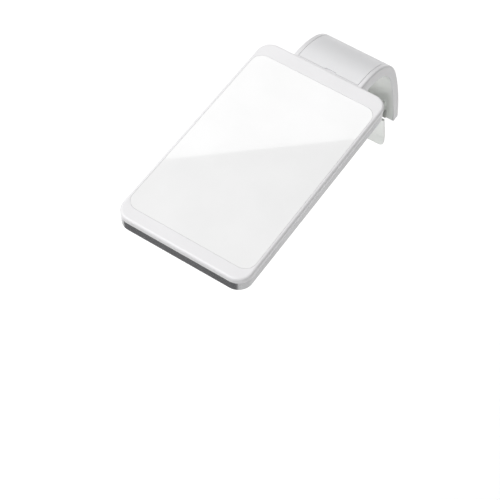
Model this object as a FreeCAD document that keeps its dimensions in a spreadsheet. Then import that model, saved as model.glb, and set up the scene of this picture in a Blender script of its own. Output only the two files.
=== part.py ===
import FreeCAD, Part
import math
import os
import Sketcher
from collections import namedtuple

# Clip-on light for a small aquarium: a flat head on a hooked arm that sits over the edge of a glass pane.
# Row frame: the origin is the middle of the slot where the pane's rim rests, +Z up, +Y out of the tank.
# Every sub-part is drawn in the head's own frame, with Y = 0 at the head's rear edge and Z = 0 at the
# lower edge of the top cover, and one common Placement moves it to the row frame.

SAME = 1e-6  # two lengths closer than this are the same
NEAR = 1e-4  # the same, for points on a computed curve

doc = FreeCAD.newDocument("AquariumLight")
sheet = doc.addObject("Spreadsheet::Sheet", "Dimensions")

DIMENSIONS = [
    # head
    ("head_width", 85.0, "width of the lamp head"),
    ("head_length", 151.0, "length of the lamp head, front to rear"),
    ("head_corner", 9.0, "corner radius of the head seen from above"),
    ("head_setback", 47.2, "from the head's rear edge to the middle of the glass slot"),
    ("head_rise", 71.0, "height of the cover's lower edge over the glass rim"),
    ("cover_height", 3.6, "height of the top cover"),
    ("cover_edge", 1.5, "rounding of the cover's upper edge"),
    ("cover_wall", 2.0, "side wall of the top cover"),
    ("cover_roof", 1.9, "thickness of the cover's top"),
    ("panel_side", 1.8, "rim left beside the inset panel"),
    ("panel_front", 8.2, "rim left in front of the inset panel"),
    ("panel_rear", 10.8, "rim left behind the inset panel"),
    ("panel_thickness", 0.9, "thickness of the inset panel"),
    ("panel_gap", 0.12, "gap around the inset panel"),
    ("tray_height", 6.6, "height of the metal tray's side wall"),
    ("tray_inset", 0.25, "step between the cover and the metal tray"),
    ("tray_wall", 1.8, "wall of the metal tray"),
    ("tray_floor", 1.8, "thickness of the tray's floor, which cools the board"),
    ("gasket_thickness", 0.3, "thickness of the seal between tray and bezel"),
    ("gasket_inset", 0.45, "how far the seal lies inside the tray's outline"),
    ("bezel_rim", 0.7, "thickness of the bezel's outer plate"),
    ("bezel_inset", 0.7, "how far the bezel's plate lies inside the tray's outline"),
    ("bezel_depth", 1.0, "how far the bezel's locating rim reaches into the tray"),
    ("fit_gap", 0.1, "gap between parts that fit together"),
    ("seat_gap", 0.02, "gap under a flat screw head on a curved face"),
    ("overcut", 1.0, "how far a cutting or joining shape reaches past a surface"),
    # window, board and light sources
    ("window_width", 59.0, "width of the window in the bezel"),
    ("window_length", 89.5, "length of the window in the bezel"),
    ("window_corner", 4.0, "corner radius of the window"),
    ("window_bevel", 0.55, "bevel around the window"),
    ("window_shift", 1.0, "how far the window sits behind the head's middle"),
    ("lens_margin", 2.0, "how far the lens reaches under the bezel"),
    ("board_side", 3.5, "how far the board reaches past the window's sides"),
    ("board_end", 8.0, "how far the board reaches past the window's ends"),
    ("board_thickness", 1.2, "thickness of the aluminium circuit board"),
    ("board_corner", 1.0, "corner radius of the circuit board"),
    ("thermal_pad_thickness", 0.3, "thickness of the thermal pad under the board"),
    ("package_width", 5.7, "long side of a light source"),
    ("package_length", 3.0, "short side of a light source"),
    ("package_height", 0.8, "height of a light source"),
    ("phosphor_width", 3.8, "long side of the glowing face"),
    ("phosphor_length", 2.4, "short side of the glowing face"),
    ("phosphor_depth", 0.35, "depth of the glowing face's cup"),
    ("column_outer", 22.7, "outer columns of light sources, from the middle"),
    ("column_inner", 11.4, "inner columns of light sources, from the middle"),
    ("row_far", 40.0, "outermost rows, from the window's middle"),
    ("row_near", 13.4, "second rows of the outer columns"),
    ("row_inner_far", 32.0, "far rows of the inner columns"),
    ("row_inner_near", 10.6, "near rows of the inner columns"),
    ("row_centre", 6.6, "rows of the two sources on the middle line"),
    # fasteners
    ("screw_shank", 1.25, "radius of a screw's thread"),
    ("screw_head", 1.9, "radius of a screw's head"),
    ("screw_head_height", 1.2, "height of a screw's head"),
    ("screw_hole", 1.3, "radius of a screw's hole"),
    ("driver_slot", 0.5, "width of the cross recess"),
    ("driver_depth", 0.6, "depth of the cross recess"),
    ("driver_span", 2.4, "length of the cross recess"),
    ("pilot_end", 0.2, "room left between a screw's end and its pilot hole's end"),
    ("boss_radius", 2.8, "radius of a screw boss"),
    ("cover_screw_side", 36.5, "cover screws, from the middle"),
    ("cover_screw_end", 9.0, "outer cover screws, from the head's ends"),
    ("cover_screw_length", 3.4, "thread length of the cover screws"),
    ("board_screw_side", 31.0, "board screws, from the middle"),
    ("board_screw_end", 48.0, "board screws, from the window's middle"),
    ("board_screw_length", 3.0, "thread length of the board screws"),
    ("head_screw_side", 12.0, "screws between tray and arm, from the middle"),
    ("head_screw_drop", 3.9, "those screws, below the cover's lower edge"),
    ("head_screw_length", 4.6, "thread length of those screws"),
    # arm
    ("arm_width", 47.0, "width of the arm"),
    ("arm_top", 2.0, "arm's outer face at the head, over the cover's lower edge"),
    ("arm_bottom", 7.5, "arm's inner face at the head, under the cover's lower edge"),
    ("arm_level", 3.0, "level stretch of the arm behind the head"),
    ("crown_radius", 45.0, "outer radius of the bend over the rim"),
    ("crown_turn", 70.0, "angle turned by that bend"),
    ("leg_radius", 200.0, "outer radius of the leg's slow curve"),
    ("leg_drop", 80.0, "end of the leg, under the cover's lower edge"),
    ("leg_thickness", 6.2, "thickness of the leg"),
    ("leg_chamfer", 0.8, "chamfer around the leg's end"),
    ("shell_wall", 2.2, "outer wall of the arm's shell"),
    ("shell_side", 2.0, "side wall of the arm's shell"),
    ("shell_head_wall", 3.0, "wall of the shell against the head"),
    ("shell_edge", 1.2, "rounding of the shell's outer edges"),
    ("strip_half", 20.6, "half the width of the inset strip"),
    ("strip_depth", 0.9, "thickness of the inset strip"),
    ("strip_start", 1.2, "start of the strip behind the head"),
    ("strip_drop", 75.5, "end of the strip, under the cover's lower edge"),
    ("strip_gap", 0.22, "gap around the inset strip"),
    ("pry_width", 7.0, "width of the slot that lifts the strip"),
    ("pry_length", 0.9, "length of that slot"),
    ("pry_depth", 0.63, "depth of that slot"),
    ("pry_side", 1.5, "that slot, from the middle"),
    ("plate_thickness", 1.3, "thickness of the arm's metal plate"),
    ("plate_rim", 0.8, "rim of the shell beside and above the metal plate"),
    ("plate_end", 1.2, "rim of the shell under the metal plate"),
    ("hollow_drop", 69.5, "end of the shell's hollow, under the cover's lower edge"),
    # glass slot and clamp
    ("pad_face", 2.2, "rubber face on the leg, from the slot's middle"),
    ("leg_pad_half", 18.0, "half the width of the leg's pad"),
    ("leg_pad_height", 7.0, "height of the leg's pad"),
    ("leg_pad_blank", 4.0, "depth of the leg pad's blank, which the arm's inner face trims"),
    ("slot_margin", 1.0, "distance of the pads under the slot's roof"),
    ("clamp_pad_half", 15.0, "half the width of the clamp plate's pad"),
    ("clamp_pad_thickness", 0.8, "thickness of that pad"),
    ("clamp_pad_height", 17.5, "height of that pad"),
    ("clamp_pad_drop", 2.4, "upper edge of that pad, under the slot's roof"),
    ("jaw_thickness", 1.5, "thickness of the clamp plate"),
    ("jaw_half", 21.0, "half the width of the clamp plate"),
    ("jaw_top", 0.4, "upper edge of the clamp plate, under the slot's roof"),
    ("jaw_crease", 21.0, "crease of the clamp plate, under the slot's roof"),
    ("jaw_lip", 9.5, "length of the bent lip under the crease"),
    ("jaw_lip_angle", 10.0, "angle of the bent lip"),
    ("jaw_close", 10.0, "how far the clamp plate leans towards the leg when no pane is held"),
    ("clamp_turn", 20.0, "how far the clamp plate opens past upright"),
    ("jaw_corner", 3.5, "corner radius of the lip"),
    ("pin_rise", 2.0, "hinge pin over the slot's roof"),
    ("pin_front", 5.8, "hinge pin, from the slot's middle towards the tank"),
    ("pin_radius", 1.0, "radius of the hinge pin"),
    ("pin_gap", 0.05, "radial gap between pin and clamp plate"),
    ("pin_head", 1.5, "radius of the hinge pin's heads"),
    ("pin_head_length", 0.6, "length of the hinge pin's heads"),
    ("knuckle_radius", 1.9, "radius of the hinge knuckles"),
    ("knuckle_inner", 7.2, "inner end of the clamp plate's knuckles"),
    ("knuckle_outer", 14.3, "outer end of the clamp plate's knuckles"),
    ("knuckle_gap", 0.3, "gap between fixed and moving knuckles"),
    ("base_half", 17.0, "half the width of the hinge's base"),
    ("base_thickness", 1.2, "thickness of the hinge's base"),
    ("base_rise", 9.0, "height of the hinge's base over the slot's roof"),
    ("shelf_reach", 6.0, "end of the base's shelf inside the arm, from the slot's middle"),
    ("base_screw_side", 10.5, "base screws, from the middle"),
    ("base_screw_rise", 5.5, "base screws, over the slot's roof"),
    ("base_screw_length", 5.2, "thread length of the base screws"),
    ("spring_wire", 0.25, "radius of the torsion spring's wire"),
    ("spring_coil", 1.5, "mean radius of the spring's coil"),
    ("spring_turns", 6.0, "whole turns of the spring"),
    ("spring_pitch", 1.5, "pitch of the spring"),
    ("spring_leg", 4.2, "length of the spring's fixed leg"),
    ("spring_leg_angle", 26.0, "slope of that leg"),
    ("spring_foot", 10.0, "length of the leg that presses the clamp plate"),
    # lead
    ("lead_radius", 1.0, "radius of the inner lead"),
    ("lead_side", 17.0, "inner lead, from the middle"),
    ("lead_drop", 4.5, "inner lead in the head, under the cover's lower edge"),
    ("lead_hole", 1.4, "radius of the holes the lead passes"),
    ("lead_turn", 1.3, "bend of the lead towards the inlet"),
    ("inlet_drop", 57.0, "start of that bend, under the cover's lower edge"),
    ("inlet_radius", 3.2, "radius of the cable inlet's collar"),
    ("inlet_neck", 2.1, "radius of the cable inlet in the wall"),
    ("inlet_stand", 1.8, "how far the inlet stands out of the arm"),
    ("inlet_round", 0.72, "rounding of the inlet's collar"),
    ("connector_width", 8.0, "width of the board's connector"),
    ("connector_length", 5.0, "length of the board's connector"),
    ("connector_height", 2.4, "height of the board's connector"),
    ("connector_back", 49.5, "the connector, behind the window's middle"),
]


def fill_sheet():
    """Write every driving dimension into the sheet, one row each."""
    for row, (alias, number, meaning) in enumerate(DIMENSIONS, start=1):
        sheet.set("A%d" % row, meaning)
        sheet.set("B%d" % row, "%g" % number)
        sheet.setAlias("B%d" % row, alias)
    doc.recompute()


def size(alias):
    """The value of one driving dimension."""
    return float(getattr(sheet, alias))


def cell(formula):
    """Turn a formula written in plain names into one that reads the sheet."""
    words = ["Dimensions." + word if word[0].isalpha() else word for word in formula.split()]
    return " ".join(words)


def place(feature):
    """Give a finished sub-part the common Placement of the lamp."""
    feature.setExpression("Placement.Base.y", cell("0 - head_setback"))
    feature.setExpression("Placement.Base.z", cell("head_rise"))
    return feature


# ---------------------------------------------------------------- building blocks with formulas

def edges_where(shape, test):
    """Names of the edges whose two end points both pass the test."""
    found = []
    for number, edge in enumerate(shape.Edges, start=1):
        ends = [vertex.Point for vertex in edge.Vertexes]
        if len(ends) == 2 and test(ends[0], ends[1]):
            found.append("Edge%d" % number)
    return found


def is_upright(first, second):
    """True for an edge along Z."""
    return abs(first.x - second.x) + abs(first.y - second.y) < SAME


def draw_rectangle(sketch, width, length):
    """A rectangle around the sketch's origin; the formulas replace the size it is first drawn with."""
    half_width, half_length = 20.0, 30.0
    corners = [(-half_width, -half_length), (half_width, -half_length),
               (half_width, half_length), (-half_width, half_length)]
    points = [FreeCAD.Vector(x, y, 0) for x, y in corners]
    for index in range(4):
        sketch.addGeometry(Part.LineSegment(points[index], points[(index + 1) % 4]), False)
    for index in range(4):
        sketch.addConstraint(Sketcher.Constraint("Coincident", index, 2, (index + 1) % 4, 1))
    for index, direction in enumerate(("Horizontal", "Vertical", "Horizontal", "Vertical")):
        sketch.addConstraint(Sketcher.Constraint(direction, index))
    sketch.addConstraint(Sketcher.Constraint("Symmetric", 0, 1, 2, 1, -1, 1))
    for side, drawn, formula in ((0, 2 * half_width, width), (1, 2 * half_length, length)):
        number = sketch.addConstraint(Sketcher.Constraint("Distance", side, drawn))
        sketch.setExpression("Constraints[%d]" % number, cell(formula))


def slab(name, width, length, corner, height, middle, bottom):
    """A rectangular plate with round upright corners, as a PartDesign body. All sizes are formulas."""
    body = doc.addObject("PartDesign::Body", name)
    plane = [item for item in body.Origin.OriginFeatures if item.Role == "XY_Plane"][0]
    sketch = body.newObject("Sketcher::SketchObject", name + "_outline")
    sketch.AttachmentSupport = [(plane, "")]
    sketch.MapMode = "FlatFace"
    sketch.setExpression("AttachmentOffset.Base.y", cell(middle))
    sketch.setExpression("AttachmentOffset.Base.z", cell(bottom))
    draw_rectangle(sketch, width, length)
    pad = body.newObject("PartDesign::Pad", name + "_pad")
    pad.Profile = sketch
    pad.setExpression("Length", cell(height))
    doc.recompute()
    rounding = body.newObject("PartDesign::Fillet", name + "_corners")
    rounding.Base = (pad, edges_where(pad.Shape, is_upright))
    rounding.setExpression("Radius", cell(corner))
    doc.recompute()
    return body


def finish_upper_edge(body, kind, measure, formula):
    """Round or chamfer the upper outline of a slab body; kind is the PartDesign feature, measure its size."""
    top = body.Shape.BoundBox.ZMax

    def is_upper(first, second):
        return abs(first.z - top) < SAME and abs(second.z - top) < SAME

    base = body.Tip
    finish = body.newObject("PartDesign::" + kind, body.Name + "_edge")
    finish.Base = (base, edges_where(base.Shape, is_upper))
    finish.setExpression(measure, cell(formula))
    doc.recompute()


def cylinder(name, radius, height, x, y, z, along="Z"):
    """A Part cylinder that starts at x, y, z and runs along one axis. All sizes are formulas."""
    item = doc.addObject("Part::Cylinder", name)
    item.setExpression("Radius", cell(radius))
    item.setExpression("Height", cell(height))
    if along == "X":
        item.Placement.Rotation = FreeCAD.Rotation(FreeCAD.Vector(0, 1, 0), 90)
    if along == "Y":
        item.Placement.Rotation = FreeCAD.Rotation(FreeCAD.Vector(1, 0, 0), -90)
    for axis, formula in (("x", x), ("y", y), ("z", z)):
        item.setExpression("Placement.Base." + axis, cell(formula))
    return item


def block(name, width, length, height, x, y, z):
    """A Part box; x, y are its middle and z its bottom. All sizes are formulas."""
    item = doc.addObject("Part::Box", name)
    item.setExpression("Length", cell(width))
    item.setExpression("Width", cell(length))
    item.setExpression("Height", cell(height))
    item.setExpression("Placement.Base.x", cell("( %s ) - ( %s ) / 2" % (x, width)))
    item.setExpression("Placement.Base.y", cell("( %s ) - ( %s ) / 2" % (y, length)))
    item.setExpression("Placement.Base.z", cell(z))
    return item


def fuse(name, items):
    """One Part fusion of several objects."""
    joined = doc.addObject("Part::MultiFuse", name)
    joined.Shapes = items
    return joined


def cut(name, base, tools):
    """The base with every tool taken away."""
    result = doc.addObject("Part::Cut", name)
    result.Base = base
    result.Tool = tools[0] if len(tools) == 1 else group(name + "_tools", tools)
    return result


def group(name, items):
    """Several separate solids as one object."""
    compound = doc.addObject("Part::Compound", name)
    compound.Links = items
    return compound


def upright_screws(name, places, seat, length):
    """Screws with their heads below the seat and their threads upwards, one solid for each place."""
    screws = []
    low = seat + " - screw_head_height"
    for number, (x, y) in enumerate(places, start=1):
        mark = "%s_%d" % (name, number)
        thread = cylinder(mark + "_thread", "screw_shank", length, x, y, seat)
        head = cylinder(mark + "_head", "screw_head", "screw_head_height", x, y, low)
        cross = [block(mark + "_slot_a", "driver_span", "driver_slot", "driver_depth", x, y, low),
                 block(mark + "_slot_b", "driver_slot", "driver_span", "driver_depth", x, y, low)]
        screws.append(cut(mark, fuse(mark + "_solid", [thread, head]), [fuse(mark + "_cross", cross)]))
    return group(name, screws)


# ---------------------------------------------------------------- head

HEAD_MIDDLE = "0 - head_length / 2"
PANEL_MIDDLE = "0 - ( head_length - panel_front + panel_rear ) / 2"
WINDOW_MIDDLE = "0 - head_length / 2 + window_shift"
BEZEL_SEAT = "0 - tray_height - gasket_thickness"
BOARD_FACE = "0 - tray_floor - thermal_pad_thickness - board_thickness"


def cover_screw_places():
    """Six screws along the head's long sides: the formulas of their x and y."""
    rows = ["0 - cover_screw_end", HEAD_MIDDLE, "0 - head_length + cover_screw_end"]
    return [(side + " * cover_screw_side", row) for side in ("1", "-1") for row in rows]


def board_screw_places():
    """Four screws at the board's corners: the formulas of their x and y."""
    rows = [WINDOW_MIDDLE + " + board_screw_end", WINDOW_MIDDLE + " - board_screw_end"]
    return [(side + " * board_screw_side", row) for side in ("1", "-1") for row in rows]


def make_top_cover():
    outer = slab("cover_outside", "head_width", "head_length", "head_corner", "cover_height", HEAD_MIDDLE, "0")
    finish_upper_edge(outer, "Fillet", "Radius", "cover_edge")
    inner = slab("cover_hollow", "head_width - 2 * cover_wall", "head_length - 2 * cover_wall",
                 "head_corner - cover_wall", "cover_height - cover_roof", HEAD_MIDDLE, "0")
    recess = slab("panel_recess", "head_width - 2 * panel_side", "head_length - panel_front - panel_rear",
                  "head_corner - panel_side", "panel_thickness + overcut", PANEL_MIDDLE,
                  "cover_height - panel_thickness")
    shell = cut("cover_shell", outer, [group("cover_hollows", [inner, recess])])
    bosses = []
    holes = []
    for number, (x, y) in enumerate(cover_screw_places(), start=1):
        bosses.append(cylinder("cover_boss_%d" % number, "boss_radius", "cover_height - cover_roof", x, y, "0"))
        holes.append(cylinder("cover_pilot_%d" % number, "screw_hole", "cover_height - cover_roof", x, y, "0"))
    return cut("top_cover", fuse("cover_with_bosses", [shell] + bosses), holes)


def make_top_panel():
    return slab("top_panel", "head_width - 2 * panel_side - 2 * panel_gap",
                "head_length - panel_front - panel_rear - 2 * panel_gap",
                "head_corner - panel_side - panel_gap", "panel_thickness",
                PANEL_MIDDLE, "cover_height - panel_thickness")


def make_tray():
    outer = slab("tray_outside", "head_width - 2 * tray_inset", "head_length - 2 * tray_inset",
                 "head_corner - tray_inset", "tray_height", HEAD_MIDDLE, "0 - tray_height")
    inner = slab("tray_hollow", "head_width - 2 * tray_inset - 2 * tray_wall",
                 "head_length - 2 * tray_inset - 2 * tray_wall", "head_corner - tray_inset - tray_wall",
                 "tray_height - tray_floor", HEAD_MIDDLE, "0 - tray_height")
    holes = [inner]
    for number, (x, y) in enumerate(cover_screw_places() + board_screw_places(), start=1):
        holes.append(cylinder("tray_hole_%d" % number, "screw_hole", "tray_floor + 2 * overcut", x, y,
                              "0 - tray_floor - overcut"))
    front = "0 - tray_inset - tray_wall - overcut"
    for number, side in enumerate(("1", "-1"), start=1):
        holes.append(cylinder("tray_arm_hole_%d" % number, "screw_hole", "tray_wall + 2 * overcut",
                              side + " * head_screw_side", front, "0 - head_screw_drop", "Y"))
    holes.append(cylinder("tray_lead_hole", "lead_hole", "tray_wall + 2 * overcut",
                          "lead_side", front, "0 - lead_drop", "Y"))
    return cut("heat_sink_tray", outer, holes)


def make_tray_gasket():
    ring = slab("gasket_outside", "head_width - 2 * tray_inset - 2 * gasket_inset",
                "head_length - 2 * tray_inset - 2 * gasket_inset", "head_corner - tray_inset - gasket_inset",
                "gasket_thickness", HEAD_MIDDLE, BEZEL_SEAT)
    hole = slab("gasket_inside", "head_width - 2 * tray_inset - 2 * tray_wall",
                "head_length - 2 * tray_inset - 2 * tray_wall", "head_corner - tray_inset - tray_wall",
                "gasket_thickness", HEAD_MIDDLE, BEZEL_SEAT)
    return cut("tray_gasket", ring, [hole])


def make_bezel():
    rim = slab("bezel_cap", "head_width - 2 * tray_inset - 2 * bezel_inset",
               "head_length - 2 * tray_inset - 2 * bezel_inset", "head_corner - tray_inset - bezel_inset",
               "bezel_rim", HEAD_MIDDLE, BEZEL_SEAT + " - bezel_rim")
    plug = slab("bezel_plug", "head_width - 2 * tray_inset - 2 * tray_wall - 2 * fit_gap",
                "head_length - 2 * tray_inset - 2 * tray_wall - 2 * fit_gap",
                "head_corner - tray_inset - tray_wall - fit_gap", "bezel_depth", HEAD_MIDDLE, BEZEL_SEAT)
    window = slab("bezel_window", "window_width", "window_length", "window_corner",
                  "bezel_rim + bezel_depth", WINDOW_MIDDLE, BEZEL_SEAT + " - bezel_rim")
    seat = slab("bezel_lens_seat", "window_width + 2 * lens_margin + 2 * fit_gap",
                "window_length + 2 * lens_margin + 2 * fit_gap", "window_corner + lens_margin",
                "bezel_depth", WINDOW_MIDDLE, BEZEL_SEAT)
    bevel = slab("bezel_bevel", "window_width + 2 * window_bevel", "window_length + 2 * window_bevel",
                 "window_corner + window_bevel", "window_bevel + fit_gap / 2", WINDOW_MIDDLE,
                 BEZEL_SEAT + " - bezel_rim")
    finish_upper_edge(bevel, "Chamfer", "Size", "window_bevel")
    return cut("bezel_frame", fuse("bezel_solid", [rim, plug]), [fuse("bezel_openings", [window, seat, bevel])])


def make_window_lens():
    return slab("window_lens", "window_width + 2 * lens_margin", "window_length + 2 * lens_margin",
                "window_corner + lens_margin", "bezel_depth", WINDOW_MIDDLE, BEZEL_SEAT)


def board_like(name, thickness, bottom):
    """A plate with the board's outline and its four screw holes."""
    plate = slab(name + "_plate", "window_width + 2 * board_side", "window_length + 2 * board_end",
                 "board_corner", thickness, WINDOW_MIDDLE, bottom)
    holes = [cylinder("%s_hole_%d" % (name, number), "screw_hole", thickness, x, y, bottom)
             for number, (x, y) in enumerate(board_screw_places(), start=1)]
    return cut(name, plate, holes)


def make_board_connector():
    housing = block("connector_housing", "connector_width", "connector_length", "connector_height",
                    "lead_side", WINDOW_MIDDLE + " + connector_back", BOARD_FACE + " - connector_height")
    return group("board_connector", [housing])


def source_places():
    """Formulas of x and y for the light sources of each colour, seen from above."""
    white = [(side + " * column_outer", end + " * " + row)
             for side in ("1", "-1") for end in ("1", "-1") for row in ("row_far", "row_near")]
    white += [(side + " * column_inner", end + " * row_inner_near")
              for side in ("1", "-1") for end in ("1", "-1")]
    return {
        "white": white,
        "green": [("column_inner", "1 * row_inner_far"), ("column_inner", "-1 * row_inner_far")],
        "clear": [("-1 * column_inner", "1 * row_inner_far"), ("-1 * column_inner", "-1 * row_inner_far")],
        "red": [("0", "1 * row_centre"), ("0", "-1 * row_centre")],
    }


def make_sources(colour):
    """The glowing faces of one colour, which fill the cups of their packages."""
    faces = [block("face_%s_%d" % (colour, number), "phosphor_width", "phosphor_length", "phosphor_depth",
                   x, WINDOW_MIDDLE + " + " + y, BOARD_FACE + " - package_height")
             for number, (x, y) in enumerate(source_places()[colour], start=1)]
    return group("sources_" + colour, faces)


def make_source_packages():
    packages = []
    places = [spot for colour in source_places().values() for spot in colour]
    for number, (x, y) in enumerate(places, start=1):
        row = WINDOW_MIDDLE + " + " + y
        low = BOARD_FACE + " - package_height"
        mark = "package_%d" % number
        body = block(mark + "_body", "package_width", "package_length", "package_height", x, row, low)
        cup = block(mark + "_cup", "phosphor_width", "phosphor_length", "phosphor_depth", x, row, low)
        packages.append(cut(mark, body, [cup]))
    return group("source_packages", packages)


def make_head_screws():
    """Two screws from inside the tray into the arm, heads towards the front."""
    screws = []
    seat = "0 - tray_inset - tray_wall"
    for number, side in enumerate(("1", "-1"), start=1):
        x = side + " * head_screw_side"
        mark = "head_screw_%d" % number
        thread = cylinder(mark + "_thread", "screw_shank", "head_screw_length", x, seat,
                          "0 - head_screw_drop", "Y")
        head = cylinder(mark + "_head", "screw_head", "screw_head_height", x, seat + " - screw_head_height",
                        "0 - head_screw_drop", "Y")
        face = seat + " - screw_head_height + driver_depth / 2"
        wide = block(mark + "_slot_a", "driver_span", "driver_depth", "driver_slot", x, face,
                     "0 - head_screw_drop - driver_slot / 2")
        tall = block(mark + "_slot_b", "driver_slot", "driver_depth", "driver_span", x, face,
                     "0 - head_screw_drop - driver_span / 2")
        screws.append(cut(mark, fuse(mark + "_solid", [thread, head]), [fuse(mark + "_cross", [wide, tall])]))
    return group("head_screws", screws)


# ---------------------------------------------------------------- arm

ArmCurve = namedtuple("ArmCurve", "level bend_y bend_z bend_radius leg_radius")


def at(y, z, x=0.0):
    return FreeCAD.Vector(x, y, z)


def leg_centre():
    """Centre of the leg's slow curve, tangent to the bend over the rim."""
    turn = math.radians(size("crown_turn"))
    reach = size("leg_radius") - size("crown_radius")
    return (size("arm_level") - reach * math.sin(turn),
            size("arm_top") - size("crown_radius") - reach * math.cos(turn))


def outer_curve(depth):
    """The arm's outer face, moved inwards by depth."""
    return ArmCurve(size("arm_top") - depth, size("arm_level"), size("arm_top") - size("crown_radius"),
                    size("crown_radius") - depth, size("leg_radius") - depth)


def inner_curve(lift):
    """The arm's inner face, moved outwards by lift."""
    turn = math.radians(size("crown_turn"))
    centre_y, centre_z = leg_centre()
    leg = size("leg_radius") - size("leg_thickness")
    bend = (-size("arm_bottom") - centre_z - leg * math.cos(turn)) / (1 - math.cos(turn))
    bend_y = centre_y + (leg - bend) * math.sin(turn)
    return ArmCurve(lift - size("arm_bottom"), bend_y, -size("arm_bottom") - bend, bend + lift, leg + lift)


def bend_point(curve, angle):
    return at(curve.bend_y + curve.bend_radius * math.sin(angle),
              curve.bend_z + curve.bend_radius * math.cos(angle))


def leg_point(radius, angle):
    centre_y, centre_z = leg_centre()
    return at(centre_y + radius * math.sin(angle), centre_z + radius * math.cos(angle))


def leg_angle(radius, drop):
    """Angle on the leg's curve where it is drop below the cover's lower edge."""
    return math.acos((-drop - leg_centre()[1]) / radius)


def leg_arc(radius, first, last):
    middle = (first + last) / 2
    return Part.Arc(leg_point(radius, first), leg_point(radius, middle), leg_point(radius, last)).toShape()


def curve_edges(curve, start, drop):
    """Level line, bend and leg of one arm curve, from Y = start down to Z = -drop."""
    turn = math.radians(size("crown_turn"))
    bend = Part.Arc(bend_point(curve, 0), bend_point(curve, turn / 2), bend_point(curve, turn)).toShape()
    edges = [bend, leg_arc(curve.leg_radius, turn, leg_angle(curve.leg_radius, drop))]
    if curve.bend_y - start > size("fit_gap") / 2:
        edges.insert(0, Part.LineSegment(at(start, curve.level), at(curve.bend_y, curve.level)).toShape())
    return edges


def across(edges, half):
    """Run the face inside a closed chain of edges from X = -half to X = half."""
    wire = Part.Wire(Part.__sortEdges__(edges))
    face = Part.Face(wire)
    face.translate(FreeCAD.Vector(-half, 0, 0))
    return face.extrude(FreeCAD.Vector(2 * half, 0, 0))


def band(upper, lower, start, drop, half):
    """Solid between two arm curves."""
    first = curve_edges(upper, start, drop)
    second = curve_edges(lower, start, drop)
    lid = Part.LineSegment(at(start, upper.level), at(start, lower.level)).toShape()
    end = Part.LineSegment(leg_point(upper.leg_radius, leg_angle(upper.leg_radius, drop)),
                           leg_point(lower.leg_radius, leg_angle(lower.leg_radius, drop))).toShape()
    return across(first + second + [lid, end], half)


def leg_band(outside, inside, top, bottom, half):
    """Solid between two radii of the leg's curve, between two drops."""
    edges = [leg_arc(outside, leg_angle(outside, top), leg_angle(outside, bottom)),
             leg_arc(inside, leg_angle(inside, top), leg_angle(inside, bottom))]
    for drop in (top, bottom):
        edges.append(Part.LineSegment(leg_point(outside, leg_angle(outside, drop)),
                                      leg_point(inside, leg_angle(inside, drop))).toShape())
    return across(edges, half)


def leg_rod(radius, x, angle, first, last):
    """Cylinder square to the leg, between two radii of the leg's curve."""
    start = leg_point(first, angle) + FreeCAD.Vector(x, 0, 0)
    return Part.makeCylinder(radius, last - first, start, at(math.sin(angle), math.cos(angle)))


def coded(name, shape):
    """A sub-part whose bent shape is computed from the sheet's sizes."""
    feature = doc.addObject("Part::Feature", name)
    feature.Shape = shape
    return feature


def base_screw_angle():
    return leg_angle(size("leg_radius") - size("leg_thickness"), size("head_rise") - size("base_screw_rise"))


def lead_axis():
    """Radius of the lead's run in the leg, and the point and direction of its way out through the inlet."""
    hollow = size("leg_thickness") - size("shell_wall") - size("plate_thickness")
    radius = size("leg_radius") - size("shell_wall") - hollow / 2
    angle = leg_angle(radius, size("inlet_drop"))
    outwards = at(math.sin(angle), math.cos(angle))
    onwards = at(math.cos(angle), -math.sin(angle))
    return radius, angle, outwards, onwards


def inlet_rod(radius, first, last):
    """Cylinder on the inlet's axis between two distances from the lead's run."""
    run, angle, outwards, onwards = lead_axis()
    point = leg_point(run, angle) + onwards * size("lead_turn") + FreeCAD.Vector(size("lead_side"), 0, 0)
    return Part.makeCylinder(radius, last - first, point + outwards * first, outwards)


def depth_to_face():
    """Distance from the lead's run to the arm's outer face."""
    return size("leg_radius") - lead_axis()[0]


def arm_outline():
    return band(outer_curve(0), inner_curve(0), 0, size("leg_drop"), size("arm_width") / 2)


def round_arm(solid):
    """Round the outer long edges and chamfer the leg's end."""
    outer = outer_curve(0)
    centre = at(*leg_centre())
    bend = at(outer.bend_y, outer.bend_z)
    long_edges = []
    for edge in solid.Edges:
        middle = edge.valueAt((edge.FirstParameter + edge.LastParameter) / 2)
        if abs(abs(middle.x) - size("arm_width") / 2) > 1e-6:
            continue
        flat = at(middle.y, middle.z)
        on_level = abs(middle.z - outer.level) < SAME
        on_bend = abs((flat - bend).Length - outer.bend_radius) < NEAR and middle.y > outer.bend_y
        on_leg = abs((flat - centre).Length - outer.leg_radius) < NEAR
        if on_level or on_bend or on_leg:
            long_edges.append(edge)
    rounded = solid.makeFillet(size("shell_edge"), long_edges)
    low = [edge for edge in rounded.Edges if edge.BoundBox.ZMax < -size("leg_drop") + NEAR]
    return rounded.makeChamfer(size("leg_chamfer"), low)


def with_base_boss(shell, side):
    """Add the boss that takes a screw of the hinge's base."""
    x = side * size("base_screw_side")
    angle = base_screw_angle()
    inside = size("leg_radius") - size("leg_thickness") + size("plate_thickness")
    outside = size("leg_radius") - size("shell_wall")
    boss = leg_rod(size("boss_radius"), x, angle, inside, outside + size("fit_gap"))
    return shell.fuse(boss).cut(leg_rod(size("screw_hole"), x, angle, inside, outside))


def with_head_pilot(shell, side):
    """Drill the pilot hole of a screw that comes from the head."""
    start = at(0, -size("head_screw_drop"), side * size("head_screw_side"))
    deep = size("shell_head_wall") - size("pilot_end")
    return shell.cut(Part.makeCylinder(size("screw_hole"), deep, start, at(1, 0)))


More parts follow.
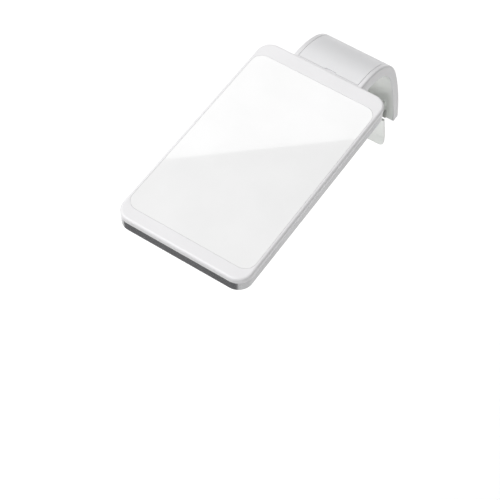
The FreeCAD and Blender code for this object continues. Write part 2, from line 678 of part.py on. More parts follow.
def make_arm_shell():
    half = size("arm_width") / 2
    hollow = band(outer_curve(size("shell_wall")), inner_curve(-size("overcut")), size("shell_head_wall"),
                  size("hollow_drop"), half - size("shell_side"))
    recess = band(outer_curve(-size("overcut")), outer_curve(size("strip_depth")), size("strip_start"),
                  size("strip_drop"), size("strip_half"))
    rabbet = band(inner_curve(size("plate_thickness")), inner_curve(-size("overcut")), size("plate_rim"),
                  size("leg_drop") - size("plate_end"), half - size("plate_rim"))
    shell = round_arm(arm_outline()).cut(hollow).cut(recess).cut(rabbet)
    for side in (1, -1):
        shell = with_head_pilot(with_base_boss(shell, side), side)
    lead_start = at(0, -size("lead_drop"), size("lead_side"))
    shell = shell.cut(Part.makeCylinder(size("lead_hole"), size("shell_head_wall"), lead_start, at(1, 0)))
    shell = shell.cut(inlet_rod(size("inlet_neck"), 0, depth_to_face() + size("overcut")))
    return coded("arm_shell", shell.removeSplitter())


def make_arm_strip():
    gap = size("strip_gap")
    strip = band(outer_curve(0), outer_curve(size("strip_depth")), size("strip_start") + gap,
                 size("strip_drop") - gap, size("strip_half") - gap)
    pry = Part.makeBox(size("pry_width"), size("pry_length"), size("strip_depth"))
    pry.translate(FreeCAD.Vector(size("pry_side") - size("pry_width") / 2, size("strip_start") + gap,
                                 size("arm_top") - size("pry_depth")))
    strip = strip.cut(pry).cut(inlet_rod(size("inlet_neck"), 0, depth_to_face() + size("overcut")))
    return coded("arm_strip", strip)


def make_arm_plate():
    half = size("arm_width") / 2 - size("plate_rim") - size("fit_gap")
    plate = band(inner_curve(size("plate_thickness")), inner_curve(0), size("plate_rim") + size("fit_gap"),
                 size("leg_drop") - size("plate_end") - size("fit_gap"), half)
    inside = size("leg_radius") - size("leg_thickness")
    for side in (1, -1):
        plate = plate.cut(leg_rod(size("screw_hole"), side * size("base_screw_side"), base_screw_angle(),
                                  inside - size("overcut"), inside + size("overcut") + size("plate_thickness")))
    return coded("arm_plate", plate)


def make_inner_lead():
    """One length of round lead: straight in the head, round the bend, down the leg and out to the inlet."""
    run, angle, outwards, onwards = lead_axis()
    turn = math.radians(size("crown_turn"))
    centre_y, centre_z = leg_centre()
    level = -size("lead_drop")
    bend = (level - centre_z - run * math.cos(turn)) / (1 - math.cos(turn))
    route = ArmCurve(level, centre_y + (run - bend) * math.sin(turn), level - bend, bend, run)
    window_middle = size("window_shift") - size("head_length") / 2
    plug = window_middle + size("connector_back") + size("connector_length") / 2
    edges = curve_edges(route, plug, size("inlet_drop"))
    corner = leg_point(run, angle)
    radius = size("lead_turn")
    pivot = corner + outwards * radius
    middle = pivot + (onwards - outwards) * (radius * math.sqrt(0.5))
    turned = pivot + onwards * radius
    edges.append(Part.Arc(corner, middle, turned).toShape())
    end = turned + outwards * (depth_to_face() + size("inlet_stand") - radius)
    edges.append(Part.LineSegment(turned, end).toShape())
    path = Part.Wire(edges)
    circle = Part.Wire(Part.Circle(at(plug, level), at(1, 0), size("lead_radius")).toShape())
    lead = path.makePipeShell([circle], True, False)
    lead.translate(FreeCAD.Vector(size("lead_side"), 0, 0))
    return coded("inner_lead", lead)


def make_cable_inlet():
    face = depth_to_face()
    past = size("overcut")
    neck_radius = size("inlet_neck") - size("fit_gap") / 2
    neck = inlet_rod(neck_radius, face - size("shell_wall"), face)
    collar = inlet_rod(size("inlet_radius"), face, face + size("inlet_stand"))
    rims = [edge for edge in collar.Edges if edge.Closed]
    outer_rim = max(rims, key=lambda edge: edge.BoundBox.YMax)
    collar = collar.makeFillet(size("inlet_round"), [outer_rim])
    inlet = neck.fuse(collar).cut(inlet_rod(size("lead_radius") + size("fit_gap") / 2, 0,
                                            face + size("inlet_stand") + past))
    curved = arm_outline().common(inlet_rod(size("inlet_radius") + past, face - past, face + past))
    curved = curved.cut(inlet_rod(neck_radius, face - 2 * past, face + 2 * past))
    return coded("cable_inlet", inlet.cut(curved).removeSplitter())


# ---------------------------------------------------------------- glass slot and clamp

def slot_roof():
    return -size("head_rise")


def slot_middle():
    return size("head_setback")


def pin_place():
    return slot_middle() - size("pin_front"), slot_roof() + size("pin_rise")


def jaw_face():
    """Glass side of the clamp plate while it stands upright."""
    return pin_place()[0] + size("jaw_thickness") / 2


def pin_rod(radius, first, last):
    """Cylinder on the hinge's axis between two X values."""
    y, z = pin_place()
    return Part.makeCylinder(radius, last - first, at(y, z, first), FreeCAD.Vector(1, 0, 0))


def brick(x, y, z):
    """Box between pairs of limits."""
    return Part.makeBox(x[1] - x[0], y[1] - y[0], z[1] - z[0], FreeCAD.Vector(x[0], y[0], z[0]))


def closed(shape):
    """Lean an upright clamp piece about the hinge pin towards the leg."""
    pin_y, pin_z = pin_place()
    shape.rotate(at(pin_y, pin_z), FreeCAD.Vector(1, 0, 0), size("jaw_close"))
    return Part.makeCompound([shape])


def make_leg_pad():
    half = size("leg_pad_half")
    top = slot_roof() - size("slot_margin")
    face = slot_middle() + size("pad_face")
    pad = brick((-half, half), (face, face + size("leg_pad_blank")), (top - size("leg_pad_height"), top))
    return coded("leg_pad", pad.cut(arm_outline()))


def make_clamp_base():
    """Leaf on the arm's inner face, shelf over the pane's rim and the two fixed knuckles."""
    half = size("base_half")
    past = size("overcut")
    inside = size("leg_radius") - size("leg_thickness")
    pin_y, pin_z = pin_place()
    reach = pin_y + size("knuckle_radius") + size("knuckle_gap")
    floor = (slot_roof(), slot_roof() + size("base_thickness"))
    leaf = leg_band(inside + past, inside - size("base_thickness"), -slot_roof() - size("base_rise"),
                    -slot_roof(), half)
    base = leaf.fuse(brick((-half, half), (reach, slot_middle() + size("shelf_reach")), floor))
    first = size("knuckle_outer") + size("knuckle_gap")
    for side in (1, -1):
        ends = sorted((side * first, side * half))
        base = base.fuse(brick(ends, (pin_y, reach + past), floor))
        base = base.fuse(pin_rod(size("knuckle_radius"), ends[0], ends[1]))
    base = base.cut(arm_outline()).cut(pin_rod(size("pin_radius"), -half - past, half + past))
    for side in (1, -1):
        base = base.cut(leg_rod(size("screw_hole"), side * size("base_screw_side"), base_screw_angle(),
                                inside - size("base_thickness") - 2 * past, inside + past))
    return coded("clamp_base", base.removeSplitter())


def make_base_screws():
    screws = []
    angle = base_screw_angle()
    seat = size("leg_radius") - size("leg_thickness") - size("base_thickness") - size("seat_gap")
    for side in (1, -1):
        x = side * size("base_screw_side")
        head = leg_rod(size("screw_head"), x, angle, seat - size("screw_head_height"), seat)
        thread = leg_rod(size("screw_shank"), x, angle, seat, seat + size("base_screw_length"))
        screw = head.fuse(thread)
        middle = leg_point(seat - size("screw_head_height"), angle) + FreeCAD.Vector(x, 0, 0)
        for spin in (0, 90):
            slot = brick((-size("driver_span") / 2, size("driver_span") / 2),
                         (-size("driver_slot") / 2, size("driver_slot") / 2), (0, size("driver_depth")))
            slot.rotate(FreeCAD.Vector(0, 0, 0), FreeCAD.Vector(0, 0, 1), spin)
            slot.rotate(FreeCAD.Vector(0, 0, 0), FreeCAD.Vector(-1, 0, 0), math.degrees(angle))
            slot.translate(middle)
            screw = screw.cut(slot)
        screws.append(screw)
    return coded("base_screws", Part.makeCompound(screws))


def make_hinge_pin():
    half = size("base_half")
    pin = pin_rod(size("pin_radius"), -half, half)
    for first in (-half - size("pin_head_length"), half):
        pin = pin.fuse(pin_rod(size("pin_head"), first, first + size("pin_head_length")))
    return coded("hinge_pin", pin.removeSplitter())


def jaw_profile():
    """Side outline of the clamp plate: straight down from the hinge, then a lip bent away from the glass."""
    lean = math.radians(size("jaw_lip_angle"))
    thick = size("jaw_thickness")
    top = slot_roof() - size("jaw_top")
    crease = slot_roof() - size("jaw_crease")
    fold = thick * math.tan(lean / 2)
    drop = size("jaw_lip") * math.cos(lean)
    back = size("jaw_lip") * math.sin(lean)
    glass = jaw_face()
    tip = at(glass - back, crease - drop)
    outer_tip = tip + at(-math.cos(lean), math.sin(lean)) * thick
    return [at(glass, top), at(glass, crease), tip, outer_tip,
            at(glass - thick, crease + fold), at(glass - thick, top)]


def make_clamp_plate():
    half = size("jaw_half")
    corners = jaw_profile()
    plate = Part.Face(Part.makePolygon(corners + corners[:1]))
    plate.translate(FreeCAD.Vector(-half, 0, 0))
    plate = plate.extrude(FreeCAD.Vector(2 * half, 0, 0))
    low = slot_roof() - size("jaw_crease") - size("jaw_lip") / 2
    tips = [edge for edge in plate.Edges
            if edge.BoundBox.ZMax < low and abs(abs(edge.CenterOfMass.x) - half) < SAME]
    plate = plate.makeFillet(size("jaw_corner"), tips)
    crease = [edge for edge in plate.Edges
              if edge.BoundBox.XLength > half
              and abs(edge.CenterOfMass.z - slot_roof() + size("jaw_crease")) < size("jaw_thickness")]
    plate = plate.makeFillet(size("jaw_thickness"), crease)
    pin_y, pin_z = pin_place()
    for side in (1, -1):
        ends = sorted((side * size("knuckle_inner"), side * size("knuckle_outer")))
        plate = plate.fuse(brick(ends, (jaw_face() - size("jaw_thickness"), jaw_face()),
                                 (slot_roof() - size("jaw_top") - size("overcut"), pin_z)))
        plate = plate.fuse(pin_rod(size("knuckle_radius"), ends[0], ends[1]))
    plate = plate.cut(pin_rod(size("pin_radius") + size("pin_gap"), -half, half))
    return coded("clamp_plate", closed(plate.removeSplitter()))


def make_clamp_pad():
    half = size("clamp_pad_half")
    top = slot_roof() - size("clamp_pad_drop")
    pad = brick((-half, half), (jaw_face(), jaw_face() + size("clamp_pad_thickness")),
                (top - size("clamp_pad_height"), top))
    return coded("clamp_pad", closed(pad))


def spring_start():
    """Half the coil's length along the pin, and the coil's start angle in degrees."""
    rest = 90 - size("clamp_turn") + size("spring_leg_angle")
    return (size("spring_turns") + rest / 360) * size("spring_pitch") / 2, -size("spring_leg_angle")


def make_torsion_spring():
    """Coil around the pin with its fixed leg on the base's shelf."""
    half, start = spring_start()
    coil = Part.makeHelix(size("spring_pitch"), 2 * half, size("spring_coil"))
    rise = size("spring_pitch") / (2 * math.pi)
    radius = size("spring_coil")
    circle = Part.Circle(FreeCAD.Vector(radius, 0, 0), FreeCAD.Vector(0, radius, rise), size("spring_wire"))
    coil = Part.Wire(coil.Edges).makePipeShell([Part.Wire(circle.toShape())], True, True)
    turn = math.radians(start)
    first = at(-math.sin(turn), math.cos(turn))
    second = at(-math.cos(turn), -math.sin(turn))
    pin_y, pin_z = pin_place()
    coil.Placement = FreeCAD.Placement(at(pin_y, pin_z, -half),
                                       FreeCAD.Rotation(first, second, FreeCAD.Vector(1, 0, 0), "XYZ"))
    root = at(pin_y, pin_z, -half) + first * size("spring_coil")
    leg = Part.makeCylinder(size("spring_wire"), size("spring_leg"), root, second * -1)
    return coded("torsion_spring", coil.fuse(leg))


def make_spring_foot():
    """Leg of the spring that moves with the clamp plate and presses it towards the glass."""
    half, start = spring_start()
    pin_y, pin_z = pin_place()
    top = at(pin_y - size("spring_coil"), pin_z - size("spring_wire") - 2 * size("fit_gap"), half)
    tip = at(jaw_face() - size("jaw_thickness") - size("spring_wire"), top.z - size("spring_foot"), half)
    foot = Part.makeCylinder(size("spring_wire"), (tip - top).Length, top, tip - top)
    return coded("spring_foot", closed(foot))


# ---------------------------------------------------------------- the lamp

fill_sheet()
SUBPARTS = [
    make_top_cover(),
    make_top_panel(),
    make_tray(),
    make_tray_gasket(),
    make_bezel(),
    make_window_lens(),
    board_like("thermal_pad", "thermal_pad_thickness", "0 - tray_floor - thermal_pad_thickness"),
    board_like("led_board", "board_thickness", BOARD_FACE),
    make_source_packages(),
    make_sources("white"),
    make_sources("green"),
    make_sources("red"),
    make_sources("clear"),
    make_board_connector(),
    upright_screws("cover_screws", cover_screw_places(), "0 - tray_floor", "cover_screw_length"),
    upright_screws("board_screws", board_screw_places(), BOARD_FACE, "board_screw_length"),
    make_head_screws(),
    make_arm_shell(),
    make_arm_strip(),
    make_arm_plate(),
    make_inner_lead(),
    make_cable_inlet(),
    make_leg_pad(),
    make_clamp_base(),
    make_base_screws(),
    make_hinge_pin(),
    make_torsion_spring(),
    make_clamp_plate(),
    make_clamp_pad(),
    make_spring_foot(),
]
for subpart in SUBPARTS:
    subpart.Label = subpart.Name
    place(subpart)
doc.recompute()

for item in doc.Objects:
    if "Invalid" in item.State or "Error" in item.State:
        raise RuntimeError("the object %s did not compute: %s" % (item.Name, item.State))
for subpart in SUBPARTS:
    if subpart.Shape.isNull() or not subpart.Shape.isValid():
        raise RuntimeError("the sub-part %s has no valid shape" % subpart.Name)

os.makedirs("parts", exist_ok=True)
for subpart in SUBPARTS:
    subpart.Shape.exportStep(os.path.join("parts", subpart.Label + ".step"))
print("wrote %d sub-parts" % len(SUBPARTS))
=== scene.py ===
import math
import bmesh
import bpy
from mathutils import Matrix, Vector


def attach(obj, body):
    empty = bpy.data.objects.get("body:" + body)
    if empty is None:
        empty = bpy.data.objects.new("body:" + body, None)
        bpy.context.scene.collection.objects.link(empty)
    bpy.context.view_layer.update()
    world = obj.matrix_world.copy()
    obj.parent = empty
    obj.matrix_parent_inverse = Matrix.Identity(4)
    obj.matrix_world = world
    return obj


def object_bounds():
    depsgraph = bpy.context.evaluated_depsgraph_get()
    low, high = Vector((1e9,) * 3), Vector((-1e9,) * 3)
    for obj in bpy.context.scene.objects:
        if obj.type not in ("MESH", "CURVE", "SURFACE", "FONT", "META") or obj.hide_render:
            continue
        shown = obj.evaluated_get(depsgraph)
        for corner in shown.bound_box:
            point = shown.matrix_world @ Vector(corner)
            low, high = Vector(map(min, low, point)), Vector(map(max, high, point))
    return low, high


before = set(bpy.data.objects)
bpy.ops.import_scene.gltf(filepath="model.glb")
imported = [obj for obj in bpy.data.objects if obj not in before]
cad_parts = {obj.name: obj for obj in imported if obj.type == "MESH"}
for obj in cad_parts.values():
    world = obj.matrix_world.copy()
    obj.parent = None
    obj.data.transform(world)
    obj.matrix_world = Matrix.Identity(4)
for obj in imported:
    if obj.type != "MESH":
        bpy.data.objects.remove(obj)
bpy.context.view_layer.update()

# Clip-on aquarium light. Lengths are metres unless a comment says millimetres, in the model's own frame:
# the origin is the middle of the slot's roof where the glass rests, +Z up, the head reaches towards -Y.

MM = 0.001


# ---------------------------------------------------------------- camera

CAMERA_PLACE = Vector((0.27597, -0.55342, 0.73859))
CAMERA_AZIMUTH = math.radians(32.88)
CAMERA_ELEVATION = math.radians(56.01)
CAMERA_ROLL = math.radians(0.93)
CAMERA_LENS = 108.0
CAMERA_SENSOR = 36.0


def add_camera():
    """Camera in front of the lamp's right side, looking down on its top."""
    data = bpy.data.cameras.new("view")
    data.lens = CAMERA_LENS
    data.sensor_width = CAMERA_SENSOR
    data.clip_start = 0.01
    data.clip_end = 50.0
    camera = bpy.data.objects.new("view", data)
    bpy.context.collection.objects.link(camera)
    look = Vector((-math.sin(CAMERA_AZIMUTH) * math.cos(CAMERA_ELEVATION),
                   math.cos(CAMERA_AZIMUTH) * math.cos(CAMERA_ELEVATION),
                   -math.sin(CAMERA_ELEVATION)))
    level = look.to_track_quat("-Z", "Y")
    camera.rotation_mode = "QUATERNION"
    camera.rotation_quaternion = level @ Matrix.Rotation(CAMERA_ROLL, 3, "Z").to_quaternion()
    camera.location = CAMERA_PLACE
    bpy.context.scene.camera = camera


# ---------------------------------------------------------------- material helpers

# Cosine between a face's own normal and its rounded one, where edge wear starts and where it is full.
WEAR_START = 0.99
WEAR_FULL = 0.80


class Shader:
    """A small helper that builds one node material."""

    def __init__(self, name):
        self.material = bpy.data.materials.new(name)
        self.material.use_nodes = True
        self.nodes = self.material.node_tree.nodes
        self.links = self.material.node_tree.links
        self.base = self.nodes["Principled BSDF"]
        self.place = self.nodes.new("ShaderNodeTexCoord").outputs["Object"]

    def set(self, **sockets):
        """Plain values on the main shader; underscores in a name stand for spaces."""
        for name, value in sockets.items():
            self.base.inputs[name.replace("_", " ")].default_value = value
        return self

    def link(self, output, socket):
        self.links.new(output, self.base.inputs[socket])
        return self

    def noise(self, scale, detail=3.0, stretch=(1, 1, 1), roughness=0.5):
        """Noise in object space; scale is features per metre."""
        mapping = self.nodes.new("ShaderNodeMapping")
        mapping.inputs["Scale"].default_value = stretch
        self.links.new(self.place, mapping.inputs["Vector"])
        node = self.nodes.new("ShaderNodeTexNoise")
        node.inputs["Scale"].default_value = scale
        node.inputs["Detail"].default_value = detail
        node.inputs["Roughness"].default_value = roughness
        self.links.new(mapping.outputs["Vector"], node.inputs["Vector"])
        return node.outputs["Fac"]

    def ramp(self, factor, low, high, start=0.3, end=0.7):
        """Blend two colours over a stretch of a factor."""
        node = self.nodes.new("ShaderNodeValToRGB")
        node.color_ramp.elements[0].position = start
        node.color_ramp.elements[0].color = (*low, 1)
        node.color_ramp.elements[1].position = end
        node.color_ramp.elements[1].color = (*high, 1)
        self.links.new(factor, node.inputs["Fac"])
        return node.outputs["Color"]

    def span(self, factor, low, high):
        """Map a 0 to 1 factor onto a span of numbers."""
        node = self.nodes.new("ShaderNodeMapRange")
        node.inputs["To Min"].default_value = low
        node.inputs["To Max"].default_value = high
        self.links.new(factor, node.inputs["Value"])
        return node.outputs["Result"]

    def bump(self, height, depth, strength, after=None):
        """Surface relief; depth is in metres."""
        node = self.nodes.new("ShaderNodeBump")
        node.inputs["Strength"].default_value = strength
        node.inputs["Distance"].default_value = depth
        self.links.new(height, node.inputs["Height"])
        if after is not None:
            self.links.new(after, node.inputs["Normal"])
        return node.outputs["Normal"]

    def edge_wear(self, colour, edge_colour, radius, amount):
        """Lighter, slightly worn edges on top of a colour."""
        bevel = self.nodes.new("ShaderNodeBevel")
        bevel.samples = 4
        bevel.inputs["Radius"].default_value = radius
        geometry = self.nodes.new("ShaderNodeNewGeometry")
        turn = self.nodes.new("ShaderNodeVectorMath")
        turn.operation = "DOT_PRODUCT"
        self.links.new(bevel.outputs["Normal"], turn.inputs[0])
        self.links.new(geometry.outputs["Normal"], turn.inputs[1])
        worn = self.nodes.new("ShaderNodeMapRange")
        worn.inputs["From Min"].default_value = WEAR_START
        worn.inputs["From Max"].default_value = WEAR_FULL
        worn.inputs["To Max"].default_value = amount
        self.links.new(turn.outputs["Value"], worn.inputs["Value"])
        mix = self.nodes.new("ShaderNodeMix")
        mix.data_type = "RGBA"
        self.links.new(worn.outputs["Result"], mix.inputs["Factor"])
        self.links.new(colour, mix.inputs["A"])
        mix.inputs["B"].default_value = (*edge_colour, 1)
        return mix.outputs["Result"]


def moulded(name, colour, roughness, gloss=0.0, grain=0.00001, waves=0.00006, coat_roughness=0.06):
    """Injection-moulded plastic: faint mottling, a fine mould texture and slow waves in thin walls."""
    shader = Shader(name)
    darker = [part * 0.975 for part in colour]
    cloud = shader.noise(38.0, detail=4.0)
    shader.link(shader.ramp(cloud, darker, colour, 0.35, 0.65), "Base Color")
    fine = shader.noise(2600.0, detail=2.0)
    shader.link(shader.span(shader.noise(240.0), roughness * 0.85, roughness * 1.15), "Roughness")
    slow = shader.bump(shader.noise(16.0, detail=1.0), waves, 0.35)
    shader.link(shader.bump(fine, grain, 0.6, after=slow), "Normal")
    shader.set(Coat_Weight=gloss, Coat_Roughness=coat_roughness, IOR=1.49)
    return shader.material


def coated_metal(name, colour, edge, roughness, metallic=0.0):
    """Coated metal: powder texture, faint streaks and edges where the coat is thinner."""
    shader = Shader(name)
    cloud = shader.noise(60.0, detail=5.0)
    tone = shader.ramp(cloud, [part * 0.9 for part in colour], [part * 1.08 for part in colour])
    shader.link(shader.edge_wear(tone, edge, 0.00025, 0.5), "Base Color")
    shader.link(shader.span(shader.noise(700.0, detail=3.0), roughness * 0.8, roughness * 1.2), "Roughness")
    shader.link(shader.bump(shader.noise(4200.0, detail=2.0), 0.00001, 0.5), "Normal")
    shader.set(Metallic=metallic)
    return shader.material


def brushed(name, colour, roughness, stretch, contrast=0.14, metallic=1.0):
    """Metal with fine straight grinding lines; stretch is small along the lines."""
    shader = Shader(name)
    lines = shader.noise(1500.0, detail=6.0, stretch=stretch, roughness=0.7)
    tone = shader.ramp(lines, [part * (1 - contrast) for part in colour],
                       [part * (1 + contrast / 2) for part in colour])
    shader.link(shader.edge_wear(tone, (0.86, 0.86, 0.86), 0.0002, 0.6), "Base Color")
    polish = shader.span(lines, roughness * (1 - 2 * contrast), roughness * (1 + 2 * contrast))
    shader.link(polish, "Roughness")
    shader.link(shader.bump(lines, 0.00004 * contrast, 0.5), "Normal")
    shader.set(Metallic=metallic)
    return shader.material


def soft_rubber(name, colour):
    """Matte rubber with a fine moulded skin and a trace of dust."""
    shader = Shader(name)
    dust = shader.noise(420.0, detail=6.0)
    shader.link(shader.ramp(dust, colour, [part + 0.05 for part in colour], 0.5, 0.8), "Base Color")
    shader.link(shader.span(shader.noise(900.0), 0.62, 0.85), "Roughness")
    shader.link(shader.bump(shader.noise(3200.0, detail=3.0), 0.00002, 0.5), "Normal")
    return shader.material


def clear_pane(name):
    """Clear acrylic, slightly cool, that keeps what lies behind it in view."""
    shader = Shader(name)
    smudge = shader.noise(55.0, detail=5.0)
    shader.link(shader.span(smudge, 0.02, 0.07), "Roughness")
    shader.link(shader.bump(shader.noise(20.0, detail=1.0), 0.00002, 0.3), "Normal")
    shader.set(Base_Color=(0.95, 0.985, 0.99, 1), IOR=1.49, Transmission_Weight=1.0, Alpha=0.16)
    return shader.material


def circuit_board(name):
    """White solder mask with a faint pattern of tracks showing through."""
    shader = Shader(name)
    tracks = shader.nodes.new("ShaderNodeTexBrick")
    tracks.inputs["Scale"].default_value = 90.0
    tracks.inputs["Mortar Size"].default_value = 0.02
    tracks.inputs["Color1"].default_value = (0.69, 0.735, 0.745, 1)
    tracks.inputs["Color2"].default_value = (0.685, 0.73, 0.74, 1)
    tracks.inputs["Mortar"].default_value = (0.665, 0.712, 0.722, 1)
    shader.links.new(shader.place, tracks.inputs["Vector"])
    shader.link(tracks.outputs["Color"], "Base Color")
    shader.link(shader.span(shader.noise(800.0), 0.3, 0.45), "Roughness")
    shader.link(shader.bump(tracks.outputs["Fac"], 0.00001, 0.4), "Normal")
    return shader.material


def glowing_face(name, colour, strength):
    """Phosphor in resin: granular colour under a glossy surface, with a very faint glow."""
    shader = Shader(name)
    grains = shader.noise(5200.0, detail=4.0)
    deep = [part * 0.8 for part in colour]
    shader.link(shader.ramp(grains, deep, colour, 0.3, 0.6), "Base Color")
    shader.link(shader.span(grains, 0.12, 0.3), "Roughness")
    shader.link(shader.bump(grains, 0.00002, 0.4), "Normal")
    shader.set(Emission_Color=(*colour, 1), Emission_Strength=strength, Coat_Weight=0.25, Coat_Roughness=0.1)
    return shader.material


def paint(node, material):
    """Give a CAD node a material in all its slots."""
    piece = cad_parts[node]
    if not piece.material_slots:
        piece.data.materials.append(material)
    for place in piece.material_slots:
        place.material = material


# ---------------------------------------------------------------- materials

MATERIALS = {
    moulded("cover_plastic", (0.77, 0.765, 0.775), 0.3, gloss=0.2): ["top_cover"],
    moulded("arm_plastic", (0.72, 0.715, 0.725), 0.32, gloss=0.2): ["arm_shell"],
    moulded("panel_acrylic", (0.83, 0.83, 0.83), 0.04, gloss=1.0, grain=0.0000004, waves=0.000004,
            coat_roughness=0.008): ["top_panel"],
    moulded("strip_plastic", (0.73, 0.73, 0.74), 0.36, gloss=0.1): ["arm_strip"],
    moulded("bezel_plastic", (0.76, 0.76, 0.76), 0.42): ["bezel_frame"],
    moulded("package_ceramic", (0.85, 0.85, 0.83), 0.45): ["source_packages"],
    moulded("connector_nylon", (0.80, 0.77, 0.68), 0.5): ["board_connector"],
    coated_metal("tray_coat", (0.42, 0.42, 0.425), (0.55, 0.55, 0.55), 0.2, 0.95): ["heat_sink_tray"],
    coated_metal("clamp_coat", (0.66, 0.675, 0.655), (0.74, 0.74, 0.74), 0.3, 0.8): ["clamp_plate"],
    coated_metal("hinge_coat", (0.70, 0.715, 0.695), (0.76, 0.76, 0.76), 0.32, 0.7): ["clamp_base"],
    brushed("arm_metal", (0.76, 0.775, 0.755), 0.3, (1, 0.03, 0.03), contrast=0.03,
            metallic=0.65): ["arm_plate"],
    brushed("screw_metal", (0.62, 0.62, 0.63), 0.28, (1, 1, 1)): [
        "cover_screws", "board_screws", "head_screws", "base_screws"],
    brushed("pin_metal", (0.66, 0.66, 0.67), 0.2, (0.05, 1, 1)): ["hinge_pin"],
    brushed("spring_metal", (0.55, 0.54, 0.51), 0.25, (1, 1, 1)): ["torsion_spring", "spring_foot"],
    soft_rubber("seal_rubber", (0.03, 0.03, 0.032)): ["tray_gasket", "cable_inlet"],
    soft_rubber("pad_silicone", (0.62, 0.63, 0.61)): ["leg_pad", "clamp_pad"],
    soft_rubber("lead_jacket", (0.02, 0.02, 0.021)): ["inner_lead"],
    soft_rubber("thermal_silicone", (0.3, 0.34, 0.4)): ["thermal_pad"],
    clear_pane("lens_acrylic"): ["window_lens"],
    circuit_board("board_mask"): ["led_board"],
    glowing_face("phosphor_yellow", (0.95, 0.72, 0.06), 0.3): ["sources_white"],
    glowing_face("phosphor_green", (0.62, 0.82, 0.04), 0.3): ["sources_green"],
    glowing_face("phosphor_red", (0.88, 0.22, 0.11), 0.25): ["sources_red"],
    glowing_face("clear_resin", (0.72, 0.74, 0.76), 0.0): ["sources_clear"],
}
for material, nodes in MATERIALS.items():
    for node in nodes:
        paint(node, material)


# ---------------------------------------------------------------- small pieces that ride on the lamp

SAME_POINT = 0.000001


def solid_boxes(node):
    """Lowest and highest corner of every separate solid in a CAD node, in millimetres."""
    form = bmesh.new()
    form.from_mesh(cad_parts[node].data)
    bmesh.ops.remove_doubles(form, verts=form.verts[:], dist=SAME_POINT)
    waiting = set(form.verts)
    boxes = []
    while waiting:
        front = [waiting.pop()]
        points = []
        while front:
            vertex = front.pop()
            points.append(vertex.co / MM)
            near = {edge.other_vert(vertex) for edge in vertex.link_edges} & waiting
            waiting -= near
            front.extend(near)
        boxes.append(([min(point[axis] for point in points) for axis in range(3)],
                      [max(point[axis] for point in points) for axis in range(3)]))
    form.free()
    return sorted(boxes)


def add_chamfered_box(form, low, high, chamfer):
    """A box between two corners in millimetres with all its edges chamfered."""
    box = bmesh.new()
    corners = [box.verts.new((x * MM, y * MM, z * MM))
               for x in (low[0], high[0]) for y in (low[1], high[1]) for z in (low[2], high[2])]
    for face in ((0, 1, 3, 2), (4, 6, 7, 5), (0, 4, 5, 1), (2, 3, 7, 6), (0, 2, 6, 4), (1, 5, 7, 3)):
        box.faces.new([corners[index] for index in face])
    bmesh.ops.bevel(box, geom=box.edges[:], offset=chamfer * MM, segments=2, profile=0.5, affect="EDGES")
    scrap = bpy.data.meshes.new("scrap")
    box.to_mesh(scrap)
    box.free()
    form.from_mesh(scrap)
    bpy.data.meshes.remove(scrap)


def add_riding_piece(name, form, material):
    """Turn a finished form into a piece that moves with the lamp and takes its finish from a slot."""
    mesh = bpy.data.meshes.new(name)
    bmesh.ops.recalc_face_normals(form, faces=form.faces[:])
    form.to_mesh(mesh)
    form.free()
    mesh.materials.append(material)
    piece = bpy.data.objects.new(name, mesh)
    bpy.context.collection.objects.link(piece)
    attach(piece, "lamp")


# Sizes in millimetres. A reach or a gap is from the package's end, an inset from its long sides.
TERMINAL_LENGTH = 0.68
TERMINAL_REACH = 0.03
TERMINAL_INSET = 0.2
TERMINAL_STAND = 0.06
TERMINAL_LIFT = 0.15
TERMINAL_CHAMFER = 0.05
SOLDER_LENGTH = 0.7
SOLDER_GAP = 0.04
SOLDER_INSET = 0.15
SOLDER_HEIGHT = 0.16
SOLDER_SINK = 0.02
SOLDER_CHAMFER = 0.07


def add_terminals(packages):
    """Silver end caps on every light source."""
    form = bmesh.new()
    for low, high in packages:
        ends = ((low[0] + TERMINAL_LENGTH, low[0] - TERMINAL_REACH),
                (high[0] - TERMINAL_LENGTH, high[0] + TERMINAL_REACH))
        for inner, outer in ends:
            add_chamfered_box(form, (min(inner, outer), low[1] + TERMINAL_INSET, low[2] - TERMINAL_STAND),
                              (max(inner, outer), high[1] - TERMINAL_INSET, high[2] - TERMINAL_LIFT),
                              TERMINAL_CHAMFER)
    metal = brushed("terminal_metal", (0.33, 0.32, 0.30), 0.3, (1, 1, 1), contrast=0.1)
    add_riding_piece("package_terminals", form, metal)


def add_solder(packages):
    """Flat solder fillets on the board at the ends of every light source."""
    form = bmesh.new()
    for low, high in packages:
        for start in (low[0] - SOLDER_GAP - SOLDER_LENGTH, high[0] + SOLDER_GAP):
            add_chamfered_box(form, (start, low[1] + SOLDER_INSET, high[2] - SOLDER_HEIGHT),
                              (start + SOLDER_LENGTH, high[1] - SOLDER_INSET, high[2] + SOLDER_SINK),
                              SOLDER_CHAMFER)
    solder = brushed("solder", (0.62, 0.62, 0.60), 0.35, (1, 1, 1), contrast=0.1)
    add_riding_piece("solder_pads", form, solder)


PACKAGES = solid_boxes("source_packages")
add_terminals(PACKAGES)
add_solder(PACKAGES)


# ---------------------------------------------------------------- stage and light

FLOOR_DROP = 0.33
FLOOR_HALF = 6.0
FLOOR_GLOW = 0.22
FLAG_LOW = (-0.36, -0.7)
FLAG_HIGH = (0.12, -0.24)
FLAG_HEIGHT = -0.2
KEY_PLACE = Vector((-0.6, -0.7, 1.4))
KEY_AIM = Vector((0.0, -0.10, 0.05))
KEY_SIZE = 1.6
KEY_RADIANCE = 3.0
CARD_EDGE = Vector((-0.50, 0.695, 1.30))
CARD_ALONG = Vector((0.747, 0.665, 0.0))
CARD_LENGTH = 1.8
CARD_WIDTH = 0.9
CARD_RADIANCE = 1.3
HORIZON = 0.5


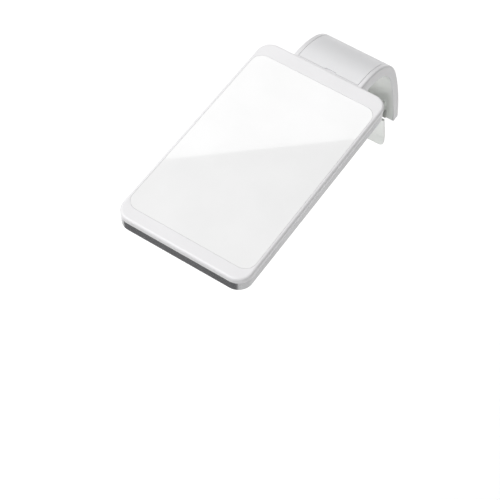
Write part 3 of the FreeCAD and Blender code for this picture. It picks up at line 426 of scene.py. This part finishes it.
def new_sheet(name, low, high, height):
    """A flat level sheet between two corners."""
    form = bmesh.new()
    corners = (low, (high[0], low[1]), high, (low[0], high[1]))
    form.faces.new([form.verts.new((x, y, 0)) for x, y in corners])
    mesh = bpy.data.meshes.new(name)
    form.to_mesh(mesh)
    form.free()
    sheet = bpy.data.objects.new(name, mesh)
    sheet.location = (0, 0, height)
    bpy.context.collection.objects.link(sheet)
    return sheet


def add_floor():
    """Plain pale floor well below the lamp, which hangs from its glass pane."""
    floor = new_sheet("floor", (-FLOOR_HALF, -FLOOR_HALF), (FLOOR_HALF, FLOOR_HALF),
                      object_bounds()[0].z - FLOOR_DROP)
    shader = Shader("floor_paper")
    shader.link(shader.ramp(shader.noise(6.0), (0.93, 0.93, 0.93), (0.95, 0.95, 0.95)), "Base Color")
    shader.set(Roughness=0.9, Emission_Color=(1, 1, 1, 1), Emission_Strength=FLOOR_GLOW)
    floor.data.materials.append(shader.material)


def add_flag():
    """Dark card in front of and under the lamp, seen only as the dark band along the head's front."""
    flag = new_sheet("flag", FLAG_LOW, FLAG_HIGH, FLAG_HEIGHT)
    flag.visible_camera = False
    flag.visible_diffuse = False
    flag.visible_shadow = False
    flag.data.materials.append(soft_rubber("flag_cloth", (0.20, 0.20, 0.205)))


def new_area_light(name, width, height, radiance):
    """A rectangular studio light of a given radiance, still to be placed and turned."""
    data = bpy.data.lights.new(name, "AREA")
    data.shape = "RECTANGLE"
    data.size = width
    data.size_y = height
    data.energy = radiance * math.pi * width * height
    light = bpy.data.objects.new(name, data)
    bpy.context.collection.objects.link(light)
    return light


def add_key_light():
    """Large soft light above the lamp's front left that faces the lamp."""
    key = new_area_light("key", KEY_SIZE, KEY_SIZE, KEY_RADIANCE)
    key.location = KEY_PLACE
    key.rotation_mode = "QUATERNION"
    key.rotation_quaternion = (KEY_AIM - KEY_PLACE).to_track_quat("-Z", "Y")


def add_reflection_card():
    """Dim light whose straight edge shows as a slanted line in the glossy panel."""
    across = Vector((-CARD_ALONG.y, CARD_ALONG.x, 0.0))
    card = new_area_light("reflection_card", CARD_LENGTH, CARD_WIDTH, CARD_RADIANCE)
    card.location = CARD_EDGE + across * (CARD_WIDTH / 2)
    card.rotation_euler = (0, 0, math.atan2(CARD_ALONG.y, CARD_ALONG.x))
    card.visible_camera = False


def add_world(above, level, below):
    """Studio walls: grey levels straight up, at the horizon and straight down."""
    world = bpy.data.worlds.new("studio")
    world.use_nodes = True
    nodes = world.node_tree.nodes
    links = world.node_tree.links
    split = nodes.new("ShaderNodeSeparateXYZ")
    links.new(nodes.new("ShaderNodeTexCoord").outputs["Generated"], split.inputs["Vector"])
    height = nodes.new("ShaderNodeMapRange")
    height.inputs["From Min"].default_value = -1.0
    links.new(split.outputs["Z"], height.inputs["Value"])
    ramp = nodes.new("ShaderNodeValToRGB")
    links.new(height.outputs["Result"], ramp.inputs["Fac"])
    ramp.color_ramp.elements[0].color = (below, below, below, 1)
    ramp.color_ramp.elements[1].color = (above, above, above, 1)
    ramp.color_ramp.elements.new(HORIZON).color = (level, level, level, 1)
    links.new(ramp.outputs["Color"], nodes["Background"].inputs["Color"])
    bpy.context.scene.world = world
    bpy.context.scene.view_settings.view_transform = "Standard"


add_floor()
add_world(above=0.5, level=0.2, below=0.9)
add_key_light()
add_flag()
add_reflection_card()
add_camera()
